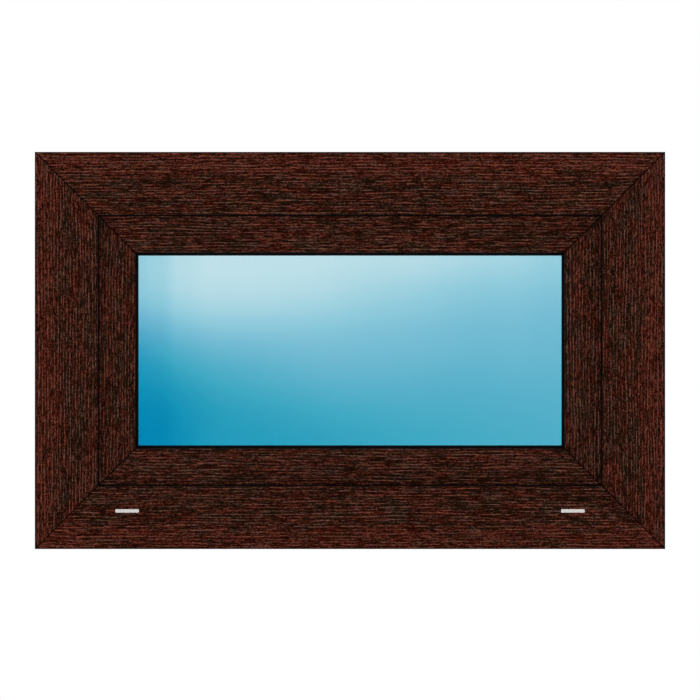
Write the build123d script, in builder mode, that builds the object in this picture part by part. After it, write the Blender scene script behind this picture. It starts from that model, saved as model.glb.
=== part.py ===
"""A small bottom-hung window in a 70 mm multi-chamber plastic profile system.

Row frame: X runs along the width, Y through the depth (the outdoor side faces -Y), Z is up.
The origin is the middle of the frame's underside.

A profile's section is drawn in (u, v): u is the distance inwards from the window's outer
edge, v is the depth counted from the outdoor face of the frame. Every member of one ring has
the same section, cut at 45 degrees at both ends.
"""

import os

from build123d import *

os.makedirs("parts", exist_ok=True)

# ---------------------------------------------------------------- driving dimensions (mm)
WIDTH = 700.0          # overall width of the frame
HEIGHT = 441.0         # overall height of the frame
DEPTH = 70.0           # depth of the frame profile
Y_OUT = -DEPTH / 2     # y of the frame's outdoor face (v = 0)

STOP_TIP = 69.9        # u of the frame stop's tip: the visible outdoor face of the frame
STOP_BACK = 10.5       # v of the back of the frame's stop
REBATE = 50.0          # u of the frame's rebate floor beside the stop
SEAL_TIP = 71.3        # u that the stop seal's lip reaches to

SASH_OUT = 14.0        # v of the sash's outdoor face
SASH_IN = 84.0         # v of the sash's indoor face
SASH_EDGE = 62.0       # u of the sash's groove face
LIP_EDGE = 42.0        # u of the overlap lip's edge, indoors
LIP_BACK = 73.5        # v of the overlap lip's back
SIGHT = 111.8          # u of the sash's glazing stop tip
GLAZING_STOP = 26.0    # v of the back of the glazing stop
GLAZING_FLOOR = 91.5   # u of the glazing rebate's floor

PANE_T = 4.0           # thickness of each pane
CAVITY = 16.0          # gap between the panes
PANE_V = 29.5          # v of the outer pane's outdoor face
GLASS_EDGE = 96.5      # u of the glass unit's edge
SEAL_SIGHT = 115.2     # u that the outer glazing seal's lip reaches to
INNER_FACE = PANE_V + 2 * PANE_T + CAVITY   # v of the inner pane's indoor face
BEAD_V = INNER_FACE + 3.0                   # v of the bead's glass side
BEAD_GAP = 0.12        # half the gap at each mitre of the beads

SEAM = 0.6             # half width of the cleaned weld groove
SEAM_DEEP = 0.7        # its depth

DRAIN_X = 247.5        # x of each drain slot's centre, left and right
DRAIN_Z = 42.4         # its height
DRAIN_L, DRAIN_H = 26.3, 3.9      # the drain cap's face
SLOT_L, SLOT_H = 24.2, 2.8        # the slot milled through the outdoor wall

HANDLE_Z = HEIGHT - 66.5
HINGE_X = 232.0
HINGE_L = 60.0
HINGE_AXIS_Y, HINGE_AXIS_Z = 43.4, 34.4

# ---------------------------------------------------------------- sections, as (u, v)
FRAME_OUTLINE = [
    ((0, 0), 0.6), ((STOP_TIP, 0), 1.0), ((STOP_TIP, STOP_BACK), 0.5),
    ((67.6, STOP_BACK), 0), ((67.6, 8.0), 0), ((63.6, 8.0), 0), ((63.6, STOP_BACK), 0),
    ((REBATE, STOP_BACK), 0.8), ((51.2, 62.0), 0.8), ((53.5, 63.5), 0.4), ((53.5, DEPTH), 1.0),
    ((0, DEPTH), 1.0),
    ((0, 58.0), 0), ((3.2, 59.0), 0), ((3.2, 51.0), 0), ((0, 52.0), 0),
    ((0, 18.0), 0), ((3.2, 19.0), 0), ((3.2, 11.0), 0), ((0, 12.0), 0),
]
FRAME_CHAMBERS = [
    [(2.8, 2.8), (66.6, 2.8), (66.6, 6.4), (49.4, 6.4), (47.0, 9.6), (2.8, 9.6)],
    [(6.0, 11.2), (47.2, 11.2), (47.4, 20.0), (6.0, 20.0)],
    [(2.8, 21.6), (47.4, 21.6), (48.1, 48.4), (2.8, 48.4)],
    [(6.0, 50.0), (48.1, 50.0), (48.3, 58.6), (6.0, 58.6)],
    [(2.8, 60.2), (48.3, 60.2), (50.7, 64.6), (50.7, 67.2), (2.8, 67.2)],
]

SASH_OUTLINE = [
    ((SASH_EDGE, SASH_OUT), 0.8), ((SIGHT, SASH_OUT), 1.0), ((SIGHT, GLAZING_STOP), 0.5),
    ((109.4, GLAZING_STOP), 0), ((109.4, 23.6), 0), ((105.4, 23.6), 0), ((105.4, GLAZING_STOP), 0),
    ((GLAZING_FLOOR, GLAZING_STOP), 0.8),
    ((GLAZING_FLOOR, 70.0), 0), ((88.7, 70.0), 0), ((88.7, 74.0), 0), ((GLAZING_FLOOR, 74.0), 0),
    ((GLAZING_FLOOR, SASH_IN), 0.6), ((LIP_EDGE, SASH_IN), 1.8), ((LIP_EDGE, LIP_BACK), 0.8),
    ((45.5, LIP_BACK), 0), ((45.5, 76.0), 0), ((49.5, 76.0), 0), ((49.5, LIP_BACK), 0),
    ((SASH_EDGE, LIP_BACK), 0.8),
    ((SASH_EDGE, 68.5), 0), ((71.0, 68.5), 0), ((71.0, 52.5), 0), ((SASH_EDGE, 52.5), 0),
]
SASH_CHAMBERS = [
    [(64.8, 16.8), (109.0, 16.8), (109.0, 22.0), (64.8, 22.0)],
    [(64.8, 23.6), (88.7, 23.6), (88.7, 30.0), (64.8, 30.0)],
    [(64.8, 31.6), (88.7, 31.6), (88.7, 50.0), (64.8, 50.0)],
    [(73.8, 51.6), (88.7, 51.6), (88.7, 67.4), (73.8, 67.4)],
    [(64.8, 70.2), (85.9, 70.2), (85.9, 74.7), (64.8, 74.7)],
    [(44.8, 77.4), (51.6, 77.4), (52.6, 76.3), (88.7, 76.3), (88.7, 81.2), (44.8, 81.2)],
]

BEAD_OUTLINE = [
    ((91.7, BEAD_V), 0), ((105.4, BEAD_V), 0), ((105.4, 58.9), 0), ((109.4, 58.9), 0),
    ((109.4, BEAD_V), 0), ((SIGHT, BEAD_V), 0.6), ((SIGHT, 65.0), 5.0), ((101.0, 83.2), 5.0),
    ((91.7, 83.2), 0.5), ((91.7, 73.7), 0), ((88.9, 73.7), 0), ((88.9, 70.3), 0), ((91.7, 70.3), 0),
]
BEAD_CHAMBER = [(93.7, 60.7), (109.6, 60.7), (109.6, 64.9), (99.6, 81.2), (93.7, 81.2)]

STOP_SEAL = [
    ((62.8, STOP_BACK), 0.3), ((63.8, STOP_BACK), 0), ((63.8, 8.2), 0), ((67.4, 8.2), 0),
    ((67.4, STOP_BACK), 0), ((70.5, STOP_BACK), 0.4), ((SEAL_TIP, 12.4), 0.6),
    ((SEAL_TIP, SASH_OUT), 0), ((62.8, SASH_OUT), 0),
]
LIP_SEAL = [
    ((44.4, LIP_BACK), 0), ((44.4, 71.4), 0.8), ((45.4, DEPTH), 0), ((50.4, DEPTH), 0),
    ((50.4, LIP_BACK), 0), ((49.3, LIP_BACK), 0), ((49.3, 75.8), 0), ((45.7, 75.8), 0),
    ((45.7, LIP_BACK), 0),
]
OUTER_GLAZING_SEAL = [
    ((104.8, GLAZING_STOP), 0.3), ((105.6, GLAZING_STOP), 0), ((105.6, 23.8), 0),
    ((109.2, 23.8), 0), ((109.2, GLAZING_STOP), 0), ((112.7, GLAZING_STOP), 0.4),
    ((SEAL_SIGHT, 28.6), 0.4), ((SEAL_SIGHT, PANE_V), 0), ((104.8, PANE_V), 0),
]
INNER_GLAZING_SEAL = [
    ((104.8, INNER_FACE), 0), ((114.4, INNER_FACE), 0), ((114.4, 54.2), 0.4), ((112.6, BEAD_V), 0.4),
    ((109.2, BEAD_V), 0), ((109.2, 58.7), 0), ((105.6, 58.7), 0), ((105.6, BEAD_V), 0),
    ((104.8, BEAD_V), 0.3),
]
EDGE_SEAL = [((GLASS_EDGE, PANE_V + PANE_T), 0), ((100.7, PANE_V + PANE_T), 0),
             ((100.7, PANE_V + PANE_T + CAVITY), 0), ((GLASS_EDGE, PANE_V + PANE_T + CAVITY), 0)]
SPACER = [((100.7, PANE_V + PANE_T), 0), ((107.9, PANE_V + PANE_T), 0.5),
          ((107.9, PANE_V + PANE_T + CAVITY), 0.5), ((100.7, PANE_V + PANE_T + CAVITY), 0)]

# ---------------------------------------------------------------- the four sides and corners
L, R, B, T = -WIDTH / 2, WIDTH / 2, 0.0, HEIGHT
SIDES = {
    # side: plane whose local x is u, whose local y is v, with the length that it is extruded
    "bottom": (Plane(origin=(R, Y_OUT, B), x_dir=(0, 0, 1), z_dir=(-1, 0, 0)), WIDTH),
    "top": (Plane(origin=(L, Y_OUT, T), x_dir=(0, 0, -1), z_dir=(1, 0, 0)), WIDTH),
    "left": (Plane(origin=(L, Y_OUT, B), x_dir=(1, 0, 0), z_dir=(0, 0, 1)), HEIGHT),
    "right": (Plane(origin=(R, Y_OUT, T), x_dir=(-1, 0, 0), z_dir=(0, 0, -1)), HEIGHT),
}
CORNERS = {
    # corner: its place and the direction of its mitre, into the window
    "bottom_left": ((L, 0, B), (1, 0, 1)),
    "bottom_right": ((R, 0, B), (-1, 0, 1)),
    "top_left": ((L, 0, T), (1, 0, -1)),
    "top_right": ((R, 0, T), (-1, 0, -1)),
}
ENDS = {
    "bottom": ("bottom_left", "bottom_right"),
    "top": ("top_left", "top_right"),
    "left": ("bottom_left", "top_left"),
    "right": ("bottom_right", "top_right"),
}


def mitred_bar(side, outline, chambers=(), gap=0.0):
    """One straight length of a section, cut at 45 degrees at both ends."""
    plane, length = SIDES[side]
    middle = plane.origin + plane.z_dir * (length / 2)
    with BuildPart() as bar:
        with BuildSketch(plane):
            with BuildLine():
                FilletPolyline(
                    *[p for p, _ in outline], radius=[r for _, r in outline], close=True
                )
            make_face()
            for chamber in chambers:
                with BuildLine():
                    Polyline(*chamber, close=True)
                make_face(mode=Mode.SUBTRACT)
        extrude(amount=length)
        for end in ENDS[side]:
            place, along = CORNERS[end]
            # the normal of the mitre plane that points into this bar
            normal = Vector(0, 1, 0).cross(Vector(*along)).normalized()
            if (middle - Vector(*place)).dot(normal) < 0:
                normal = normal * -1
            split(
                bisect_by=Plane(origin=Vector(*place) + normal * gap, z_dir=normal),
                keep=Keep.TOP,
            )
    return bar.part


def seam_plane(corner, y, out):
    """Plane across a corner's mitre, at the face y, whose local y points out of that face."""
    place, along = CORNERS[corner]
    d = Vector(*along).normalized()
    x_dir = Vector(0, out, 0).cross(d)
    return Plane(origin=Vector(place[0], y, place[2]) - d * 3, x_dir=x_dir, z_dir=d)


# ---------------------------------------------------------------- frame members
for side in ("top", "left", "right"):
    bar = mitred_bar(side, FRAME_OUTLINE, FRAME_CHAMBERS)
    with BuildPart() as frame_member:
        add(bar)
        with BuildSketch(
            *[seam_plane(c, Y_OUT, -1) for c in ENDS[side]],
            *[seam_plane(c, Y_OUT + DEPTH, 1) for c in ENDS[side]],
        ):
            with BuildLine():
                Polyline((-SEAM, 0.1), (SEAM, 0.1), (0, -SEAM_DEEP), close=True)
            make_face()
        extrude(amount=108, mode=Mode.SUBTRACT)
    frame_member.part.label = "frame_" + side
    export_step(frame_member.part, f"parts/frame_{side}.step")

bar = mitred_bar("bottom", FRAME_OUTLINE, FRAME_CHAMBERS)
with BuildPart() as frame_bottom:
    add(bar)
    with BuildSketch(
        *[seam_plane(c, Y_OUT, -1) for c in ENDS["bottom"]],
        *[seam_plane(c, Y_OUT + DEPTH, 1) for c in ENDS["bottom"]],
    ):
        with BuildLine():
            Polyline((-SEAM, 0.1), (SEAM, 0.1), (0, -SEAM_DEEP), close=True)
        make_face()
    extrude(amount=108, mode=Mode.SUBTRACT)
    # drain slots milled through the outdoor wall into the front chamber
    with BuildSketch(Plane(origin=(0, Y_OUT - 1, 0), x_dir=(1, 0, 0), z_dir=(0, 1, 0))):
        with Locations((-DRAIN_X, -DRAIN_Z), (DRAIN_X, -DRAIN_Z)):
            SlotOverall(SLOT_L, SLOT_H)
    extrude(amount=1 + 4.0, mode=Mode.SUBTRACT)
frame_bottom.part.label = "frame_bottom"
export_step(frame_bottom.part, "parts/frame_bottom.step")

# ---------------------------------------------------------------- sash members
for side in ("top", "bottom", "left", "right"):
    bar = mitred_bar(side, SASH_OUTLINE, SASH_CHAMBERS)
    with BuildPart() as sash_member:
        add(bar)
        with BuildSketch(
            *[seam_plane(c, Y_OUT + SASH_OUT, -1) for c in ENDS[side]],
            *[seam_plane(c, Y_OUT + SASH_IN, 1) for c in ENDS[side]],
        ):
            with BuildLine():
                Polyline((-SEAM, 0.1), (SEAM, 0.1), (0, -SEAM_DEEP), close=True)
            make_face()
        extrude(amount=166, mode=Mode.SUBTRACT)
    sash_member.part.label = "sash_" + side
    export_step(sash_member.part, f"parts/sash_{side}.step")

# ---------------------------------------------------------------- glazing beads, indoors
for side in ("top", "bottom", "left", "right"):
    bar = mitred_bar(side, BEAD_OUTLINE, [BEAD_CHAMBER], gap=BEAD_GAP)
    with BuildPart() as bead:
        add(bar)
    bead.part.label = "bead_" + side
    export_step(bead.part, f"parts/bead_{side}.step")

# ---------------------------------------------------------------- seals and the glass unit's edge
for name, outline in (
    ("frame_stop_seal", STOP_SEAL),
    ("sash_lip_seal", LIP_SEAL),
    ("glazing_seal_outer", OUTER_GLAZING_SEAL),
    ("glazing_seal_inner", INNER_GLAZING_SEAL),
    ("glass_edge_seal", EDGE_SEAL),
    ("glass_spacer", SPACER),
):
    bars = [mitred_bar(side, outline) for side in ("bottom", "right", "top", "left")]
    with BuildPart() as ring:
        add(bars)
    ring.part.label = name
    export_step(ring.part, f"parts/{name}.step")

# ---------------------------------------------------------------- panes
with BuildPart() as pane_outer:
    with BuildSketch(Plane.XZ.offset(-(Y_OUT + PANE_V))):
        with Locations((0, HEIGHT / 2)):
            Rectangle(WIDTH - 2 * GLASS_EDGE, HEIGHT - 2 * GLASS_EDGE)
    extrude(amount=-PANE_T)
pane_outer.part.label = "pane_outer"
export_step(pane_outer.part, "parts/pane_outer.step")

with BuildPart() as pane_inner:
    with BuildSketch(Plane.XZ.offset(-(Y_OUT + PANE_V + PANE_T + CAVITY))):
        with Locations((0, HEIGHT / 2)):
            Rectangle(WIDTH - 2 * GLASS_EDGE, HEIGHT - 2 * GLASS_EDGE)
    extrude(amount=-PANE_T)
pane_inner.part.label = "pane_inner"
export_step(pane_inner.part, "parts/pane_inner.step")

# ---------------------------------------------------------------- setting blocks round the glass unit
BLOCK_T = GLASS_EDGE - GLAZING_FLOOR
with BuildPart() as setting_blocks:
    with BuildSketch(Plane.XZ.offset(-(Y_OUT + 28.5))):
        with Locations(
            (-170, GLAZING_FLOOR + BLOCK_T / 2), (170, GLAZING_FLOOR + BLOCK_T / 2),
            (-170, HEIGHT - GLAZING_FLOOR - BLOCK_T / 2), (170, HEIGHT - GLAZING_FLOOR - BLOCK_T / 2),
        ):
            Rectangle(80, BLOCK_T)
        with Locations(
            (L + GLAZING_FLOOR + BLOCK_T / 2, HEIGHT / 2 - 70), (L + GLAZING_FLOOR + BLOCK_T / 2, HEIGHT / 2 + 70),
            (R - GLAZING_FLOOR - BLOCK_T / 2, HEIGHT / 2 - 70), (R - GLAZING_FLOOR - BLOCK_T / 2, HEIGHT / 2 + 70),
        ):
            Rectangle(BLOCK_T, 50)
    extrude(amount=-26)
setting_blocks.part.label = "setting_blocks"
export_step(setting_blocks.part, "parts/setting_blocks.step")

# ---------------------------------------------------------------- drain caps, one in each slot
CAP_PROUD = 1.8
for name, x in (("drain_cap_left", -DRAIN_X), ("drain_cap_right", DRAIN_X)):
    with BuildPart() as drain_cap:
        # the face, proud of the frame
        with BuildSketch(Plane.XZ.offset(-Y_OUT)):
            with Locations((x, DRAIN_Z)):
                RectangleRounded(DRAIN_L, DRAIN_H, 1.0)
        extrude(amount=CAP_PROUD)
        fillet(drain_cap.faces().sort_by(Axis.Y)[0].edges(), 0.45)
        # the plug, inside the slot
        with BuildSketch(Plane.XZ.offset(-Y_OUT)):
            with Locations((x, DRAIN_Z)):
                SlotOverall(SLOT_L - 0.2, SLOT_H - 0.2)
        extrude(amount=-5.4)
        # the duct through the plug, and its outlet down under the hood
        with BuildSketch(Plane.XZ.offset(-Y_OUT - 5.4 - 0.5)):
            with Locations((x, DRAIN_Z)):
                Rectangle(18, 1.4)
        extrude(amount=5.4 + 0.5 + 1.0, mode=Mode.SUBTRACT)
        with BuildSketch(Plane.XZ.offset(-Y_OUT + 0.0)):
            with Locations((x, DRAIN_Z - 1.5)):
                Rectangle(18, 3.0)
        extrude(amount=1.0, mode=Mode.SUBTRACT)
    drain_cap.part.label = name
    export_step(drain_cap.part, f"parts/{name}.step")

# ---------------------------------------------------------------- handle, indoors on the sash's top rail
Y_SASH = Y_OUT + SASH_IN
with BuildPart() as handle_base:
    with BuildSketch(Plane.XZ.offset(-Y_SASH)):
        with Locations((0, HANDLE_Z)):
            RectangleRounded(70, 30, 7)
    extrude(amount=-11)
    fillet(handle_base.faces().sort_by(Axis.Y)[-1].edges(), 2.4)
handle_base.part.label = "handle_base"
export_step(handle_base.part, "parts/handle_base.step")

with BuildPart() as handle_collar:
    with BuildSketch(Plane.XZ.offset(-(Y_SASH + 11))):
        with Locations((0, HANDLE_Z)):
            Circle(11.5)
    extrude(amount=-3.0)
    chamfer(handle_collar.faces().sort_by(Axis.Y)[-1].edges(), 0.7)
handle_collar.part.label = "handle_collar"
export_step(handle_collar.part, "parts/handle_collar.step")

LEVER_Y = Y_SASH + 14
with BuildPart() as handle_lever:
    # the side view: neck out of the collar, then the grip along the rail
    with BuildSketch(Plane.XY.offset(HANDLE_Z - 14)):
        with BuildLine():
            Line((-8.5, LEVER_Y), (-8.5, LEVER_Y + 27))
            ThreePointArc((-8.5, LEVER_Y + 27), (-4.4, LEVER_Y + 35.6), (5, LEVER_Y + 38.6))
            ThreePointArc((5, LEVER_Y + 38.6), (60, LEVER_Y + 40.0), (118, LEVER_Y + 36.2))
            Line((118, LEVER_Y + 36.2), (118, LEVER_Y + 26.4))
            ThreePointArc((118, LEVER_Y + 26.4), (66, LEVER_Y + 28.2), (19, LEVER_Y + 25.8))
            ThreePointArc((19, LEVER_Y + 25.8), (11.4, LEVER_Y + 22.2), (8.5, LEVER_Y + 14.5))
            Line((8.5, LEVER_Y + 14.5), (8.5, LEVER_Y))
            Line((8.5, LEVER_Y), (-8.5, LEVER_Y))
        make_face()
    extrude(amount=28)
    # the front view: a slim grip, a little fuller in the middle, with a round end
    with BuildSketch(Plane.XZ.offset(-LEVER_Y)):
        with BuildLine():
            Line((-8.5, HANDLE_Z - 8.5), (8.5, HANDLE_Z - 8.5))
            ThreePointArc((8.5, HANDLE_Z - 8.5), (60, HANDLE_Z - 10.4), (108.5, HANDLE_Z - 8.6))
            ThreePointArc((108.5, HANDLE_Z - 8.6), (117.4, HANDLE_Z), (108.5, HANDLE_Z + 8.6))
            ThreePointArc((108.5, HANDLE_Z + 8.6), (60, HANDLE_Z + 10.4), (8.5, HANDLE_Z + 8.5))
            Line((8.5, HANDLE_Z + 8.5), (-8.5, HANDLE_Z + 8.5))
            Line((-8.5, HANDLE_Z + 8.5), (-8.5, HANDLE_Z - 8.5))
        make_face()
    extrude(amount=-60, mode=Mode.INTERSECT)
    long_edges = handle_lever.edges().filter_by(
        lambda e: e.length > 3 and not (abs(e.center().Y - LEVER_Y) < 0.01)
    )
    fillet(long_edges, 3.6)
handle_lever.part.label = "handle_lever"
export_step(handle_lever.part, "parts/handle_lever.step")

# ---------------------------------------------------------------- two bottom hinges, indoors
KNUCKLE_R = 7.0
PIN_R = 3.0
MIDDLE_L = 23.0        # length of the frame leaf's knuckle
GAP = 0.4              # between knuckles
LEAF_T, LEAF_H = 3.0, 20.0
Y_FRAME = Y_OUT + DEPTH
AY, AZ = HINGE_AXIS_Y, HINGE_AXIS_Z
for name, x in (("left", -HINGE_X), ("right", HINGE_X)):
    with BuildPart() as frame_leaf:
        with BuildSketch(Plane.XZ.offset(-Y_FRAME)):
            with Locations((x, 17.0)):
                RectangleRounded(HINGE_L, LEAF_H, 3)
        extrude(amount=-LEAF_T)
        fillet(frame_leaf.faces().sort_by(Axis.Y)[-1].edges(), 0.7)
        # the middle knuckle, rolled up out of the leaf
        with BuildSketch(Plane.YZ.offset(x - MIDDLE_L / 2)):
            with Locations((AY, AZ)):
                Circle(KNUCKLE_R)
            with BuildLine():
                Polyline(
                    (Y_FRAME, 20.0), (Y_FRAME + LEAF_T, 20.0), (Y_FRAME + LEAF_T, 26.2),
                    (AY - 2.4, AZ - 6.5), (AY, AZ), (AY - 6.6, AZ + 2.0), (Y_FRAME, 33.0),
                    close=True,
                )
            make_face()
            with Locations((AY, AZ)):
                Circle(PIN_R + 0.05, mode=Mode.SUBTRACT)
        extrude(amount=MIDDLE_L)
    frame_leaf.part.label = f"hinge_{name}_frame_leaf"
    export_step(frame_leaf.part, f"parts/hinge_{name}_frame_leaf.step")

    with BuildPart() as sash_leaf:
        with BuildSketch(Plane.XZ.offset(-Y_SASH)):
            with Locations((x, 54.4)):
                RectangleRounded(HINGE_L, LEAF_H, 3)
        extrude(amount=-LEAF_T)
        fillet(sash_leaf.faces().sort_by(Axis.Y)[-1].edges(), 0.7)
        # the two outer knuckles
        for start, length in (
            (x - HINGE_L / 2, (HINGE_L - MIDDLE_L) / 2 - GAP),
            (x + MIDDLE_L / 2 + GAP, (HINGE_L - MIDDLE_L) / 2 - GAP),
        ):
            with BuildSketch(Plane.YZ.offset(start)):
                with Locations((AY, AZ)):
                    Circle(KNUCKLE_R)
                with BuildLine():
                    Polyline(
                        (AY, AZ), (AY + 6.9, AZ + 1.1), (Y_SASH + LEAF_T, 43.6),
                        (Y_SASH + LEAF_T, 50.0), (Y_SASH, 50.0), (Y_SASH, 41.9), (AY + 2.1, AZ + 6.6),
                        close=True,
                    )
                make_face()
                with Locations((AY, AZ)):
                    Circle(PIN_R + 0.05, mode=Mode.SUBTRACT)
            extrude(amount=length)
    sash_leaf.part.label = f"hinge_{name}_sash_leaf"
    export_step(sash_leaf.part, f"parts/hinge_{name}_sash_leaf.step")

    with BuildPart() as hinge_pin:
        with BuildSketch(Plane.YZ.offset(x - HINGE_L / 2 - 2.4)):
            with Locations((AY, AZ)):
                Circle(4.6)
        extrude(amount=2.3)
        with BuildSketch(Plane.YZ.offset(x + HINGE_L / 2 + 0.1)):
            with Locations((AY, AZ)):
                Circle(4.6)
        extrude(amount=2.3)
        chamfer(
            hinge_pin.faces().sort_by(Axis.X)[0].edges() + hinge_pin.faces().sort_by(Axis.X)[-1].edges(),
            0.9,
        )
        with BuildSketch(Plane.YZ.offset(x - HINGE_L / 2 - 1.0)):
            with Locations((AY, AZ)):
                Circle(PIN_R)
        extrude(amount=HINGE_L + 2.0)
    hinge_pin.part.label = f"hinge_{name}_pin"
    export_step(hinge_pin.part, f"parts/hinge_{name}_pin.step")
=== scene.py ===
import math

import bmesh
import bpy
from mathutils import Matrix, Vector


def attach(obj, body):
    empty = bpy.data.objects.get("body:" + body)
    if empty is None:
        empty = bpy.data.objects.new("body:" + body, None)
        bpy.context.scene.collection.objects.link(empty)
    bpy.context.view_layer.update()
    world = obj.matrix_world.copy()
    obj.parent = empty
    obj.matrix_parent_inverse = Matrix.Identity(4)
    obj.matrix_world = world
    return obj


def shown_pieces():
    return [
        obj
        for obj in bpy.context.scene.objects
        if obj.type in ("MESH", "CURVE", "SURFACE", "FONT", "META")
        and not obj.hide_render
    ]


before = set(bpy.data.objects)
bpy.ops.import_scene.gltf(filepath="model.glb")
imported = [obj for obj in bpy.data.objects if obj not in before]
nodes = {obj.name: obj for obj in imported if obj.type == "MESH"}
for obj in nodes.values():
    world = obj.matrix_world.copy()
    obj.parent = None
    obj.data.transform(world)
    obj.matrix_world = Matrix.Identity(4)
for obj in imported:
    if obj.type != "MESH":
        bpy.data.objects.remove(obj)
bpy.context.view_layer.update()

# ------------------------------------------------------------------ sizes, metres
W, H, D = 0.700, 0.441, 0.070
GLASS_L, GLASS_R = -0.2351, 0.2351
GLASS_B, GLASS_T = 0.1149, 0.3261


def srgb(r, g, b, gain=1.0):
    out = []
    for c in (r, g, b):
        c = c / 255
        out.append(min(1.0, (c / 12.92 if c <= 0.04045 else ((c + 0.055) / 1.055) ** 2.4) * gain))
    return (*out, 1.0)


# ------------------------------------------------------------------ node graphs
class Graph:
    """A material being built, with short ways to add its nodes."""

    def __init__(self, name):
        self.mat = bpy.data.materials.new(name)
        self.mat.use_nodes = True
        self.nt = self.mat.node_tree
        self.nt.nodes.clear()
        self.out = self.nt.nodes.new("ShaderNodeOutputMaterial")
        self.coord = self.nt.nodes.new("ShaderNodeTexCoord").outputs["Object"]
        sep = self.nt.nodes.new("ShaderNodeSeparateXYZ")
        self.nt.links.new(self.coord, sep.inputs[0])
        self.x, self.y, self.z = sep.outputs

    def put(self, value, socket):
        if isinstance(value, bpy.types.NodeSocket):
            self.nt.links.new(value, socket)
        elif value is not None:
            socket.default_value = value

    def math(self, op, a, b=None, c=None, clamp=False):
        n = self.nt.nodes.new("ShaderNodeMath")
        n.operation, n.use_clamp = op, clamp
        for value, socket in zip((a, b, c), n.inputs):
            self.put(value, socket)
        return n.outputs[0]

    def span(self, value, lo, hi, out_lo=0.0, out_hi=1.0, smooth=True):
        n = self.nt.nodes.new("ShaderNodeMapRange")
        n.interpolation_type = "SMOOTHSTEP" if smooth else "LINEAR"
        for v, s in zip((value, lo, hi, out_lo, out_hi), n.inputs):
            self.put(v, s)
        return n.outputs[0]

    def vec(self, x, y, z):
        n = self.nt.nodes.new("ShaderNodeCombineXYZ")
        for v, s in zip((x, y, z), n.inputs):
            self.put(v, s)
        return n.outputs[0]

    def scaled(self, sx, sy, sz, ox=0.0, oy=0.0, oz=0.0, source=None):
        n = self.nt.nodes.new("ShaderNodeMapping")
        self.put(source or self.coord, n.inputs["Vector"])
        n.inputs["Scale"].default_value = (sx, sy, sz)
        n.inputs["Location"].default_value = (ox, oy, oz)
        return n.outputs[0]

    def noise(self, vector, scale=1.0, detail=0.0, roughness=0.5, distortion=0.0):
        n = self.nt.nodes.new("ShaderNodeTexNoise")
        self.put(vector, n.inputs["Vector"])
        n.inputs["Scale"].default_value = scale
        n.inputs["Detail"].default_value = detail
        n.inputs["Roughness"].default_value = roughness
        n.inputs["Distortion"].default_value = distortion
        return n.outputs[0]

    def ramp(self, fac, stops, mode="LINEAR"):
        n = self.nt.nodes.new("ShaderNodeValToRGB")
        ramp = n.color_ramp
        ramp.interpolation = mode
        while len(ramp.elements) < len(stops):
            ramp.elements.new(0.5)
        for e, (p, c) in zip(ramp.elements, stops):
            e.position = p
            e.color = c if isinstance(c, tuple) else (c, c, c, 1)
        self.put(fac, n.inputs[0])
        return n.outputs[0]

    def mix(self, fac, a, b, blend="MIX"):
        n = self.nt.nodes.new("ShaderNodeMix")
        n.data_type, n.blend_type = "RGBA", blend
        self.put(fac, n.inputs["Factor"])
        self.put(a, n.inputs[6])
        self.put(b, n.inputs[7])
        return n.outputs[2]

    def blendf(self, fac, a, b):
        n = self.nt.nodes.new("ShaderNodeMix")
        n.data_type = "FLOAT"
        self.put(fac, n.inputs[0])
        self.put(a, n.inputs[2])
        self.put(b, n.inputs[3])
        return n.outputs[0]

    def bump(self, height, distance, strength=1.0, normal=None):
        n = self.nt.nodes.new("ShaderNodeBump")
        n.inputs["Strength"].default_value = strength
        n.inputs["Distance"].default_value = distance
        self.put(height, n.inputs["Height"])
        if normal is not None:
            self.put(normal, n.inputs["Normal"])
        return n.outputs[0]

    def principled(self, **inputs):
        n = self.nt.nodes.new("ShaderNodeBsdfPrincipled")
        for k, v in inputs.items():
            self.put(v, n.inputs[k.replace("_", " ")])
        self.nt.links.new(n.outputs[0], self.out.inputs["Surface"])
        return n


# ------------------------------------------------------------------ wood-grain film
# the film's colours, dark to light: where it is browner, and where it is redder
BROWN = [
    (0.08, (17, 8, 1)), (0.24, (30, 15, 5)), (0.36, (35, 21, 11)), (0.46, (44, 29, 20)),
    (0.58, (62, 40, 31)), (0.76, (80, 54, 45)), (0.96, (97, 67, 57)),
]
RED = [
    (0.08, (28, 4, 0)), (0.24, (46, 10, 1)), (0.36, (56, 16, 8)), (0.46, (69, 25, 16)),
    (0.58, (84, 37, 27)), (0.76, (97, 48, 38)), (0.96, (112, 61, 49)),
]
# streaks: cells a metre along the grain, across it, and how strong
STREAKS = [(42, 1150, 0.38), (96, 1150, 0.78), (220, 1100, 0.78), (600, 1000, 0.97)]
LINE_STEP = 0.0035     # the light lines are about this far apart


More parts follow.
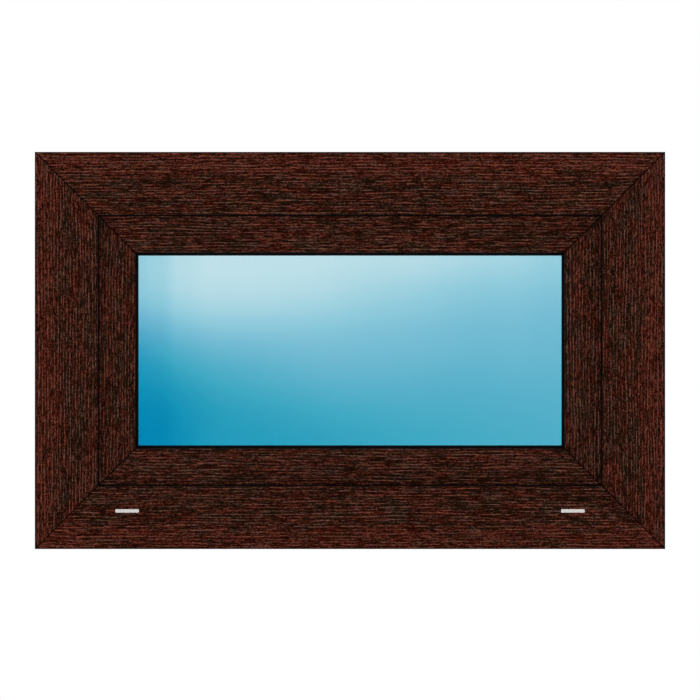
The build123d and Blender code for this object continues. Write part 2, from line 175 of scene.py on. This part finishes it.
def film(name, along, seed):
    """Mahogany film whose grain runs along X or along Z."""
    g = Graph(name)
    x, y, z = g.x, g.y, g.z
    horizontal = along == "X"
    a, c = (x, z) if horizontal else (z, x)

    def stretched(sa, sc, shift, detail=0.0, roughness=0.5, source=None):
        """Noise with sa cells a metre along the grain and sc across it."""
        v = g.scaled(sa, sc, sc, shift, seed, shift + seed, source)
        return g.noise(v, 1.0, detail, roughness)

    def spread(n, gain, rest):
        """rest plus a noise that swings about zero."""
        return g.math("MULTIPLY_ADD", g.math("SUBTRACT", n, 0.5), gain, rest)

    # the grain bends very slightly; the film wraps round the edges, so depth counts as width
    plain = g.vec(a, y, c)
    c2 = spread(stretched(7, 16, 11, 1, source=plain), 0.0030, c)
    c2 = spread(stretched(42, 110, 23, source=plain), 0.0004, c2)
    here = g.vec(a, y, c2)

    value = 0.251
    for i, (sa, sc, gain) in enumerate(STREAKS):
        value = spread(stretched(sa, sc, 3 + 7 * i, source=here), gain, value)
    # thin light lines, side by side, that break off
    jitter = g.math("MULTIPLY", g.math("SUBTRACT", stretched(11, 90, 61, 1, source=here), 0.5), 0.006)
    # depth counts outwards from the glass, so that the lines stay as fine on the slopes
    deep = g.math("MULTIPLY", g.math("ABSOLUTE", g.math("SUBTRACT", y, 0.005)), 0.8)
    deep = g.math("MULTIPLY", deep, g.math("SIGN", g.math("SUBTRACT", c, H / 2 if horizontal else 0.0)))
    phase = g.math("MULTIPLY", g.math("ADD", g.math("ADD", c2, deep), jitter), 2 * math.pi / LINE_STEP)
    crest = g.span(g.math("COSINE", phase), 0.42, 1.0)
    broken = g.span(stretched(56, 290, 71, 1, source=here), 0.35, 0.53)
    value = g.math("MULTIPLY_ADD", g.math("MULTIPLY", crest, broken), 0.45, value)
    patch = stretched(19, 62, 29, 2, 0.55, here)
    value = spread(patch, 0.16, value)

    fibre = stretched(420, 5200, 83, 1, source=here)
    value = spread(fibre, 0.16, value)

    # distance from the window's outer edge
    edge_h = g.math("MINIMUM", z, g.math("SUBTRACT", H, z))
    edge_v = g.math("SUBTRACT", W / 2, g.math("ABSOLUTE", x))
    u = edge_h if horizontal else edge_v

    # the outer part of the frame's face is a little redder and lighter
    outer = g.span(spread(patch, 0.030, u), 0.018, 0.030, 1.0, 0.0)
    value = g.math("MULTIPLY_ADD", outer, 0.070, value)
    # and the sash's face, which lies deeper, is painted a trace lighter than the frame's inner part: painted light
    # that evens out the shade of its recess
    value = g.math("MULTIPLY_ADD", g.span(u, 0.0703, 0.0706), 0.019, value)
    hue = spread(stretched(150, 600, 41, 2, 0.6, here), 3.2, 0.42)
    hue = spread(stretched(30, 140, 47, 1, source=here), 2.2, hue)
    hue = g.math("MULTIPLY_ADD", outer, 0.40, hue, clamp=True)
    colour = g.mix(hue, g.ramp(value, [(p, srgb(*c_)) for p, c_ in BROWN]),
                   g.ramp(value, [(p, srgb(*c_)) for p, c_ in RED]))

    # here and there it is a trace more orange or more rosy
    rosy = g.span(stretched(170, 520, 53, 1, source=here), 0.30, 0.70, 0.66, 1.30, False)
    colour = g.mix(1.0, colour, g.vec(1.0, 1.0, rosy), "MULTIPLY")

    # the cleaned weld seams at the mitres are touched in dark
    diagonal = g.math("ABSOLUTE", g.math("SUBTRACT", edge_h, edge_v))
    seam = g.span(diagonal, 0.00055, 0.00125, 1.0, 0.0)
    # painted shade: the film is painted darker where it turns round the outer edge
    rim_shade = g.span(u, 0.0009, 0.0016, 0.85, 0.0)
    # and painted shade where it turns in towards the stop seal and the glazing seal
    tip_shade = g.math("MULTIPLY", g.span(u, 0.0695, 0.0699), g.span(y, -0.0216, -0.0213, 1.0, 0.0))
    sight_shade = g.math("MULTIPLY", g.span(u, 0.1110, 0.1116), g.span(y, -0.0100, -0.0095, 1.0, 0.0))
    # a painted soft shadow on the sash beside the stop seal
    beside_shadow = g.math("MULTIPLY", g.span(u, 0.0710, 0.0722, 0.14, 0.0), g.span(y, -0.0203, -0.0200, 1.0, 0.0))
    beside_shadow = g.math("MULTIPLY", beside_shadow, g.span(u, 0.0699, 0.0701))
    # the dark weld seams, and the painted shade at the edges and beside the seal, all take one dark brown
    seam_and_shade = g.math("MAXIMUM", g.math("MAXIMUM", seam, rim_shade), g.math("MAXIMUM", tip_shade, sight_shade))
    seam_and_shade = g.math("MAXIMUM", seam_and_shade, beside_shadow)
    colour = g.mix(seam_and_shade, colour, srgb(15, 6, 4))

    # past the film's edges, on the faces that stand in the wall, the plastic itself shows
    v = g.math("ADD", y, D / 2)
    bare = g.math("MULTIPLY", g.span(u, 0.0032, 0.0034, 1.0, 0.0), g.span(v, 0.0109, 0.0111))
    bare = g.math("MULTIPLY", bare, g.span(v, 0.0589, 0.0591, 1.0, 0.0))
    drawn = g.noise(g.scaled(*((4, 900, 900) if horizontal else (900, 900, 4)), 0, 0, seed), detail=2)
    plastic = g.mix(drawn, srgb(56, 38, 30), srgb(70, 49, 39))
    colour = g.mix(bare, colour, plastic)

    rough = g.span(value, 0.1, 0.7, 0.42, 0.34, False)
    rough = g.blendf(bare, rough, 0.46)
    height = g.math("MULTIPLY", value, g.math("SUBTRACT", 1.0, bare))
    normal = g.bump(height, 0.00010, 0.45)
    g.principled(Base_Color=colour, Roughness=rough, Normal=normal, Specular_IOR_Level=0.08)
    return g.mat


film_x = film("film_grain_along_x", "X", 1.7)
film_z = film("film_grain_along_z", "Z", 4.3)
for side in ("top", "bottom", "left", "right"):
    for piece in ("frame", "sash", "bead"):
        node = nodes[f"{piece}_{side}"]
        node.data.materials.clear()
        node.data.materials.append(film_x if side in ("top", "bottom") else film_z)


# ------------------------------------------------------------------ other finishes
def rubber(name, base=(7, 6, 7)):
    g = Graph(name)
    grain = g.noise(g.scaled(1, 1, 1), 2600, 2)
    wear = g.noise(g.scaled(1, 1, 1), 55, 2)
    colour = g.mix(wear, srgb(*base, 0.75), srgb(*[c + 4 for c in base]))
    g.principled(Base_Color=colour, Roughness=g.span(wear, 0.3, 0.7, 0.45, 0.6, False),
                 Normal=g.bump(grain, 0.00002, 0.4), Specular_IOR_Level=0.08)
    return g.mat


def grey_plastic():
    g = Graph("grey_cap_plastic")
    fine = g.noise(g.scaled(1, 1, 1), 1800, 2)
    soil = g.noise(g.scaled(1, 1, 1), 260, 2)
    colour = g.mix(soil, srgb(207, 204, 200), srgb(196, 193, 188))
    g.principled(Base_Color=colour, Roughness=g.span(fine, 0.3, 0.7, 0.36, 0.5, False),
                 Normal=g.bump(fine, 0.00001, 0.5))
    return g.mat


def block_plastic():
    g = Graph("block_plastic")
    ribs = g.math("SINE", g.math("MULTIPLY", g.math("ADD", g.x, g.z), 1800))
    fine = g.noise(g.scaled(1, 1, 1), 900, 2)
    colour = g.mix(fine, srgb(52, 82, 140), srgb(66, 98, 158))
    g.principled(Base_Color=colour, Roughness=0.5, Normal=g.bump(ribs, 0.0002, 0.5))
    return g.mat


def satin_metal(name, tone, rough_lo, rough_hi, sx=1.0, sz=1.0):
    g = Graph(name)
    brush = g.noise(g.scaled(300 * sx, 2400, 2400 * sz), 1.0, 3, 0.6)
    cloud = g.noise(g.scaled(1, 1, 1), 42, 2)
    colour = g.mix(brush, srgb(*[c - 8 for c in tone]), srgb(*[c + 8 for c in tone]))
    rough = g.span(g.math("ADD", g.math("MULTIPLY", brush, 0.5), g.math("MULTIPLY", cloud, 0.5)),
                   0.3, 0.7, rough_lo, rough_hi, False)
    g.principled(Base_Color=colour, Metallic=1.0, Roughness=rough, Normal=g.bump(brush, 0.000012, 0.5))
    return g.mat


def enamel(name, tone):
    g = Graph(name)
    peel = g.noise(g.scaled(1, 1, 1), 900, 2)
    cloud = g.noise(g.scaled(1, 1, 1), 70, 2)
    colour = g.mix(cloud, srgb(*[c - 5 for c in tone]), srgb(*[c + 5 for c in tone]))
    g.principled(Base_Color=colour, Roughness=g.span(cloud, 0.3, 0.7, 0.34, 0.44, False),
                 Normal=g.bump(peel, 0.00003, 0.35), Specular_IOR_Level=0.4)
    return g.mat


def spacer_metal():
    """Bright folded spacer, with its two rows of drying holes facing the cavity, drawn as dots of painted shade."""
    g = Graph("spacer_metal")
    v = g.math("ADD", g.y, D / 2)
    # place along the bar: x on the top and bottom runs, z on the side runs
    edge_h = g.math("MINIMUM", g.z, g.math("SUBTRACT", H, g.z))
    edge_v = g.math("SUBTRACT", W / 2, g.math("ABSOLUTE", g.x))
    level = g.math("LESS_THAN", edge_h, edge_v)
    along = g.blendf(level, g.z, g.x)
    step = 0.0032
    cell = g.math("SUBTRACT", g.math("PINGPONG", along, step / 2), step / 4)
    holes = None
    for row in (0.0375, 0.0455):
        dv = g.math("SUBTRACT", v, row)
        r = g.math("SQRT", g.math("ADD", g.math("POWER", g.math("MULTIPLY", cell, 1.0), 2.0),
                                  g.math("POWER", dv, 2.0)))
        dot = g.span(r, 0.00030, 0.00045, 1.0, 0.0)
        holes = dot if holes is None else g.math("MAXIMUM", holes, dot)
    brush = g.noise(g.scaled(500, 2500, 500), 1.0, 2)
    colour = g.mix(brush, srgb(168, 170, 172), srgb(190, 192, 194))
    # the holes are not cut: their dark is painted shade inside them
    colour = g.mix(holes, colour, srgb(30, 30, 31))
    g.principled(Base_Color=colour, Metallic=1.0, Roughness=g.span(brush, 0.3, 0.7, 0.32, 0.44, False),
                 Normal=g.bump(g.math("SUBTRACT", 1.0, holes), 0.0002, 0.6))
    return g.mat


# ------------------------------------------------------------------ glass
# the outer pane's tint carries a painted sky reflection; these are its colours, deep to pale
SKY_REFLECTION = [
    (3, 133, 180), (8, 137, 181), (22, 148, 186), (42, 158, 190), (65, 169, 197),
    (90, 177, 204), (119, 189, 214), (149, 205, 223), (188, 223, 233), (199, 228, 237),
]


def painted_sky_reflection(g):
    """A painted sky reflection, laid into the glass's tint: one palette, and how pale each place is."""
    h = g.span(g.x, GLASS_L, GLASS_R, smooth=False)
    v = g.span(g.z, GLASS_T, GLASS_B, smooth=False)
    top = g.ramp(h, [(0.0, 151 / 255), (0.05, 161 / 255), (0.10, 184 / 255), (0.17, 194 / 255),
                     (0.38, 193 / 255), (0.62, 184 / 255), (0.86, 166 / 255), (1.0, 151 / 255)], "EASE")
    foot = g.ramp(h, [(0.0, 3 / 255), (0.06, 6 / 255), (0.12, 21 / 255), (0.19, 35 / 255), (0.38, 46 / 255),
                      (0.62, 62 / 255), (0.80, 71 / 255), (1.0, 80 / 255)], "LINEAR")
    left = g.ramp(v, [(0.08, 1.0), (0.18, 0.945), (0.29, 0.81), (0.39, 0.63), (0.50, 0.42), (0.60, 0.25),
                      (0.71, 0.11), (0.81, 0.03), (0.93, 0.0)])
    right = g.ramp(v, [(0.03, 1.0), (0.10, 0.88), (0.18, 0.73), (0.29, 0.58), (0.39, 0.47), (0.50, 0.39),
                       (0.60, 0.28), (0.71, 0.18), (0.81, 0.09), (0.95, 0.0)])
    side = g.span(h, 0.25, 0.85)
    fall = g.blendf(side, left, right)
    pale = g.blendf(fall, foot, top)
    # paler low in the middle, deeper half-way down the left edge
    def hump(value, middle, reach):
        return g.span(g.math("ABSOLUTE", g.math("SUBTRACT", value, middle)), 0.0, reach, 1.0, 0.0)
    pale = g.math("MULTIPLY_ADD", g.math("MULTIPLY", hump(h, 0.42, 0.38), hump(v, 0.66, 0.34)), 18 / 255, pale)
    edge = g.math("MULTIPLY", hump(h, 0.0, 0.10), hump(v, 0.50, 0.30))
    pale = g.math("MULTIPLY_ADD", edge, -9 / 255, pale)
    stops = [(r / 200, srgb(r, gr, b, 1.135)) for r, gr, b in SKY_REFLECTION]
    sky = g.ramp(g.math("MULTIPLY", pale, 255 / 200), stops)
    return g.mix(edge, sky, g.mix(1.0, sky, (1.0, 0.93, 1.02, 1.0), "MULTIPLY"))


def pane(name, paints_sky):
    g = Graph(name)
    nt = g.nt
    clear = nt.nodes.new("ShaderNodeBsdfTransparent")
    mirror = nt.nodes.new("ShaderNodeBsdfGlossy")
    mirror.inputs["Roughness"].default_value = 0.03
    mirror.inputs["Color"].default_value = (1, 1, 1, 1)
    mix = nt.nodes.new("ShaderNodeMixShader")
    # the mirrored share, the same for light that comes in and light that goes out
    facing = nt.nodes.new("ShaderNodeLayerWeight")
    facing.inputs["Blend"].default_value = 0.5
    share = g.math("MULTIPLY_ADD", g.math("POWER", facing.outputs["Facing"], 5.0), 0.9663, 0.0337)
    if paints_sky:
        # the light through the outer pane takes the painted sky reflection as its colour
        reflected_sky = painted_sky_reflection(g)
        # light crosses both faces, so each takes the square root
        gamma = nt.nodes.new("ShaderNodeGamma")
        gamma.inputs[1].default_value = 0.5
        g.put(reflected_sky, gamma.inputs[0])
        g.put(gamma.outputs[0], clear.inputs["Color"])
    else:
        clear.inputs["Color"].default_value = (0.985, 0.995, 0.99, 1)
    g.put(share, mix.inputs[0])
    g.put(clear.outputs[0], mix.inputs[1])
    g.put(mirror.outputs[0], mix.inputs[2])
    g.put(mix.outputs[0], g.out.inputs["Surface"])
    return g.mat


FINISH = {
    # the seals are painted near-black, darker than rubber is: partly their own black, partly painted shade of the
    # narrow joints they sit in
    "frame_stop_seal": rubber("black_seal"),
    "glass_edge_seal": rubber("edge_sealant", (17, 17, 18)),
    "drain_cap_left": grey_plastic(),
    "setting_blocks": block_plastic(),
    "handle_base": satin_metal("handle_metal", (176, 175, 172), 0.30, 0.40),
    "hinge_left_frame_leaf": enamel("hinge_enamel", (58, 34, 25)),
    "hinge_left_pin": satin_metal("pin_steel", (150, 150, 150), 0.22, 0.34),
    "glass_spacer": spacer_metal(),
    "pane_outer": pane("pane_painted_sky_reflection", True),
    "pane_inner": pane("pane_clear_glass", False),
}
SAME = {
    "frame_stop_seal": ("sash_lip_seal", "glazing_seal_outer", "glazing_seal_inner"),
    "drain_cap_left": ("drain_cap_right",),
    "handle_base": ("handle_collar", "handle_lever"),
    "hinge_left_frame_leaf": ("hinge_left_sash_leaf", "hinge_right_frame_leaf", "hinge_right_sash_leaf"),
    "hinge_left_pin": ("hinge_right_pin",),
}
for name, mat in FINISH.items():
    for n in (name, *SAME.get(name, ())):
        nodes[n].data.materials.clear()
        nodes[n].data.materials.append(mat)

# ------------------------------------------------------------------ the hinge leaves' screws
def screw_head(bm_all, place, turn):
    """A raised head with a cross recess, standing on a leaf that faces +Y."""
    radius, rise, sunk = 0.0036, 0.0015, 0.0003
    profile = [(radius * 0.92, -sunk), (radius, 0.00012), (radius * 0.985, 0.00034)]
    profile += [(radius * math.cos(t), 0.00034 + (rise - 0.00034) * math.sin(t))
                for t in (math.pi / 2 * k / 9 for k in range(1, 9))]
    head = bmesh.new()
    rings = []
    for r, h in profile:
        rings.append([head.verts.new((r * math.cos(a), r * math.sin(a), h))
                      for a in (2 * math.pi * i / 56 for i in range(56))])
    crown = head.verts.new((0, 0, rise))
    head.faces.new(list(reversed(rings[0])))
    for lower, upper in zip(rings, rings[1:]):
        for i in range(56):
            j = (i + 1) % 56
            head.faces.new((lower[i], lower[j], upper[j], upper[i]))
    for i in range(56):
        head.faces.new((rings[-1][i], rings[-1][(i + 1) % 56], crown))
    mesh = bpy.data.meshes.new("head")
    head.to_mesh(mesh)
    head.free()

    # the recess: a cross that narrows towards its bottom, rounded between its arms
    outline = []
    arm, half, fillet = 0.00205, 0.00046, 0.00030
    for q in range(4):
        c, s_ = math.cos(q * math.pi / 2), math.sin(q * math.pi / 2)
        for px_, py_ in ((arm, -half), (arm, half), (half + fillet, half), (half + fillet * 0.3, half + fillet * 0.3),
                         (half, half + fillet)):
            outline.append((px_ * c - py_ * s_, px_ * s_ + py_ * c))
    cut = bmesh.new()
    levels = []
    for h, k in ((0.0022, 1.0), (rise - 0.00115, 0.52)):
        levels.append([cut.verts.new((a * k, b * k, h)) for a, b in outline])
    n = len(outline)
    cut.faces.new(levels[0])
    cut.faces.new(list(reversed(levels[1])))
    for i in range(n):
        j = (i + 1) % n
        cut.faces.new((levels[1][i], levels[1][j], levels[0][j], levels[0][i]))
    bmesh.ops.recalc_face_normals(cut, faces=cut.faces)
    cutter_mesh = bpy.data.meshes.new("recess")
    cut.to_mesh(cutter_mesh)
    cut.free()

    solid = bpy.data.objects.new("head_tmp", mesh)
    cutter = bpy.data.objects.new("recess_tmp", cutter_mesh)
    bpy.context.scene.collection.objects.link(solid)
    bpy.context.scene.collection.objects.link(cutter)
    m = solid.modifiers.new("recess", "BOOLEAN")
    m.operation, m.object, m.solver = "DIFFERENCE", cutter, "EXACT"
    bpy.context.view_layer.update()
    done = bpy.data.meshes.new_from_object(solid.evaluated_get(bpy.context.evaluated_depsgraph_get()))
    for o in (solid, cutter):
        bpy.data.objects.remove(o)
    # local z is the screw's axis, pointing out of the leaf
    stand = Matrix.Translation(place) @ Matrix.Rotation(math.radians(-90), 4, "X") @ Matrix.Rotation(turn, 4, "Z")
    done.transform(stand)
    bm_all.from_mesh(done)
    bpy.data.meshes.remove(done)


for side, hinge_x in (("left", -0.232), ("right", 0.232)):
    for leaf, face_y, height in (("frame_leaf", 0.038, 0.0150), ("sash_leaf", 0.052, 0.0567)):
        bm = bmesh.new()
        for k, dx in enumerate((-0.020, 0.020)):
            screw_head(bm, (hinge_x + dx, face_y, height), 0.35 + 1.9 * k + (0.8 if side == "left" else 0.1))
        mesh = bpy.data.meshes.new(f"hinge_{side}_{leaf}_screws")
        bm.to_mesh(mesh)
        bm.free()
        screws = bpy.data.objects.new(f"hinge_{side}_{leaf}_screws", mesh)
        bpy.context.scene.collection.objects.link(screws)
        for f in mesh.polygons:
            f.use_smooth = True
        mesh.set_sharp_from_angle(angle=math.radians(32))
        mesh.materials.append(FINISH["hinge_left_pin"])
        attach(screws, "root")

# ------------------------------------------------------------------ studio
scene = bpy.context.scene
scene.view_settings.view_transform = "Standard"
scene.view_settings.look = "None"
scene.view_settings.exposure = 0.0
scene.view_settings.gamma = 1.0

world = bpy.data.worlds.new("studio")
scene.world = world
world.use_nodes = True
nt = world.node_tree
nt.nodes.clear()
w_out = nt.nodes.new("ShaderNodeOutputWorld")
bg = nt.nodes.new("ShaderNodeBackground")
nt.links.new(bg.outputs[0], w_out.inputs["Surface"])
bg.inputs["Color"].default_value = (1, 1, 1, 1)
path = nt.nodes.new("ShaderNodeLightPath")
geo = nt.nodes.new("ShaderNodeTexCoord")
sep = nt.nodes.new("ShaderNodeSeparateXYZ")
nt.links.new(geo.outputs["Generated"], sep.inputs[0])
# the studio is pale behind and above the window, and dim behind the camera
back = nt.nodes.new("ShaderNodeMapRange")
back.interpolation_type = "SMOOTHSTEP"
nt.links.new(sep.outputs["Y"], back.inputs[0])
back.inputs[1].default_value, back.inputs[2].default_value = -0.9, 0.3
back.inputs[3].default_value, back.inputs[4].default_value = 0.008, 0.75
up = nt.nodes.new("ShaderNodeMapRange")
up.interpolation_type = "SMOOTHSTEP"
nt.links.new(sep.outputs["Z"], up.inputs[0])
up.inputs[1].default_value, up.inputs[2].default_value = 0.5, 0.97
up.inputs[3].default_value, up.inputs[4].default_value = 0.0, 0.8
most = nt.nodes.new("ShaderNodeMath")
most.operation = "MAXIMUM"
nt.links.new(back.outputs[0], most.inputs[0])
nt.links.new(up.outputs[0], most.inputs[1])
# soft daylight from all round, except straight from the front, where a lamp stands in for it
around = nt.nodes.new("ShaderNodeMapRange")
around.interpolation_type = "SMOOTHSTEP"
nt.links.new(sep.outputs["Y"], around.inputs[0])
around.inputs[1].default_value, around.inputs[2].default_value = -0.85, -0.15
around.inputs[3].default_value, around.inputs[4].default_value = 0.01, 0.85
glossy = nt.nodes.new("ShaderNodeMix")
nt.links.new(path.outputs["Is Glossy Ray"], glossy.inputs[0])
nt.links.new(around.outputs[0], glossy.inputs[2])
nt.links.new(most.outputs[0], glossy.inputs[3])
seen = nt.nodes.new("ShaderNodeMix")
nt.links.new(path.outputs["Is Camera Ray"], seen.inputs[0])
nt.links.new(glossy.outputs[0], seen.inputs[2])
seen.inputs[3].default_value = 1.0
nt.links.new(seen.outputs[0], bg.inputs["Strength"])


def light(name, place, size, power, aim=(0, 0, 0.2205)):
    data = bpy.data.lights.new(name, "AREA")
    data.shape, data.size, data.energy = "DISK", size, power
    o = bpy.data.objects.new(name, data)
    scene.collection.objects.link(o)
    o.location = place
    o.rotation_mode = "QUATERNION"
    o.rotation_quaternion = (Vector(aim) - Vector(place)).to_track_quat("-Z", "Y")
    return o


# the front lights are soft enough to leave no gleam on the film, and light the window only
lit = bpy.data.collections.new("window_pieces")
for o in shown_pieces():
    lit.objects.link(o)
for name, place, size, power, gleam in (
    ("soft_front", (0.0, -3.4, 0.20), 0.5, 46, False),
    ("soft_left", (-1.9, -2.2, 0.8), 0.9, 9, False),
    ("soft_right", (1.9, -2.2, 0.8), 0.9, 9, False),
    ("soft_back", (-0.9, 1.9, 1.6), 1.2, 16, True),
):
    lamp = light(name, place, size, power)
    lamp.visible_glossy, lamp.visible_camera = gleam, False
    lamp.light_linking.receiver_collection = lit

# floor: a pale disc under the window
bpy.ops.mesh.primitive_circle_add(vertices=128, radius=14.0, fill_type="NGON", location=(0, 0, 0))
floor = bpy.context.object
floor.name = "floor"
g = Graph("floor_paint")
g.principled(Base_Color=(0.66, 0.66, 0.66, 1), Roughness=0.9, Specular_IOR_Level=0.0,
             Emission_Color=(1, 1, 1, 1), Emission_Strength=0.66)
floor.data.materials.append(g.mat)
floor.visible_glossy = False

# ------------------------------------------------------------------ camera: square on, parallel
cam_data = bpy.data.cameras.new("camera")
cam_data.type = "ORTHO"
cam_data.ortho_scale = 700 * (W / 630.35)
cam = bpy.data.objects.new("camera", cam_data)
scene.collection.objects.link(cam)
px = W / 630
cam.location = (0.0, -2.2, H / 2 + 0.5 * px)
cam.rotation_euler = (math.radians(90), 0, 0)
cam_data.clip_start, cam_data.clip_end = 0.05, 50
scene.camera = cam
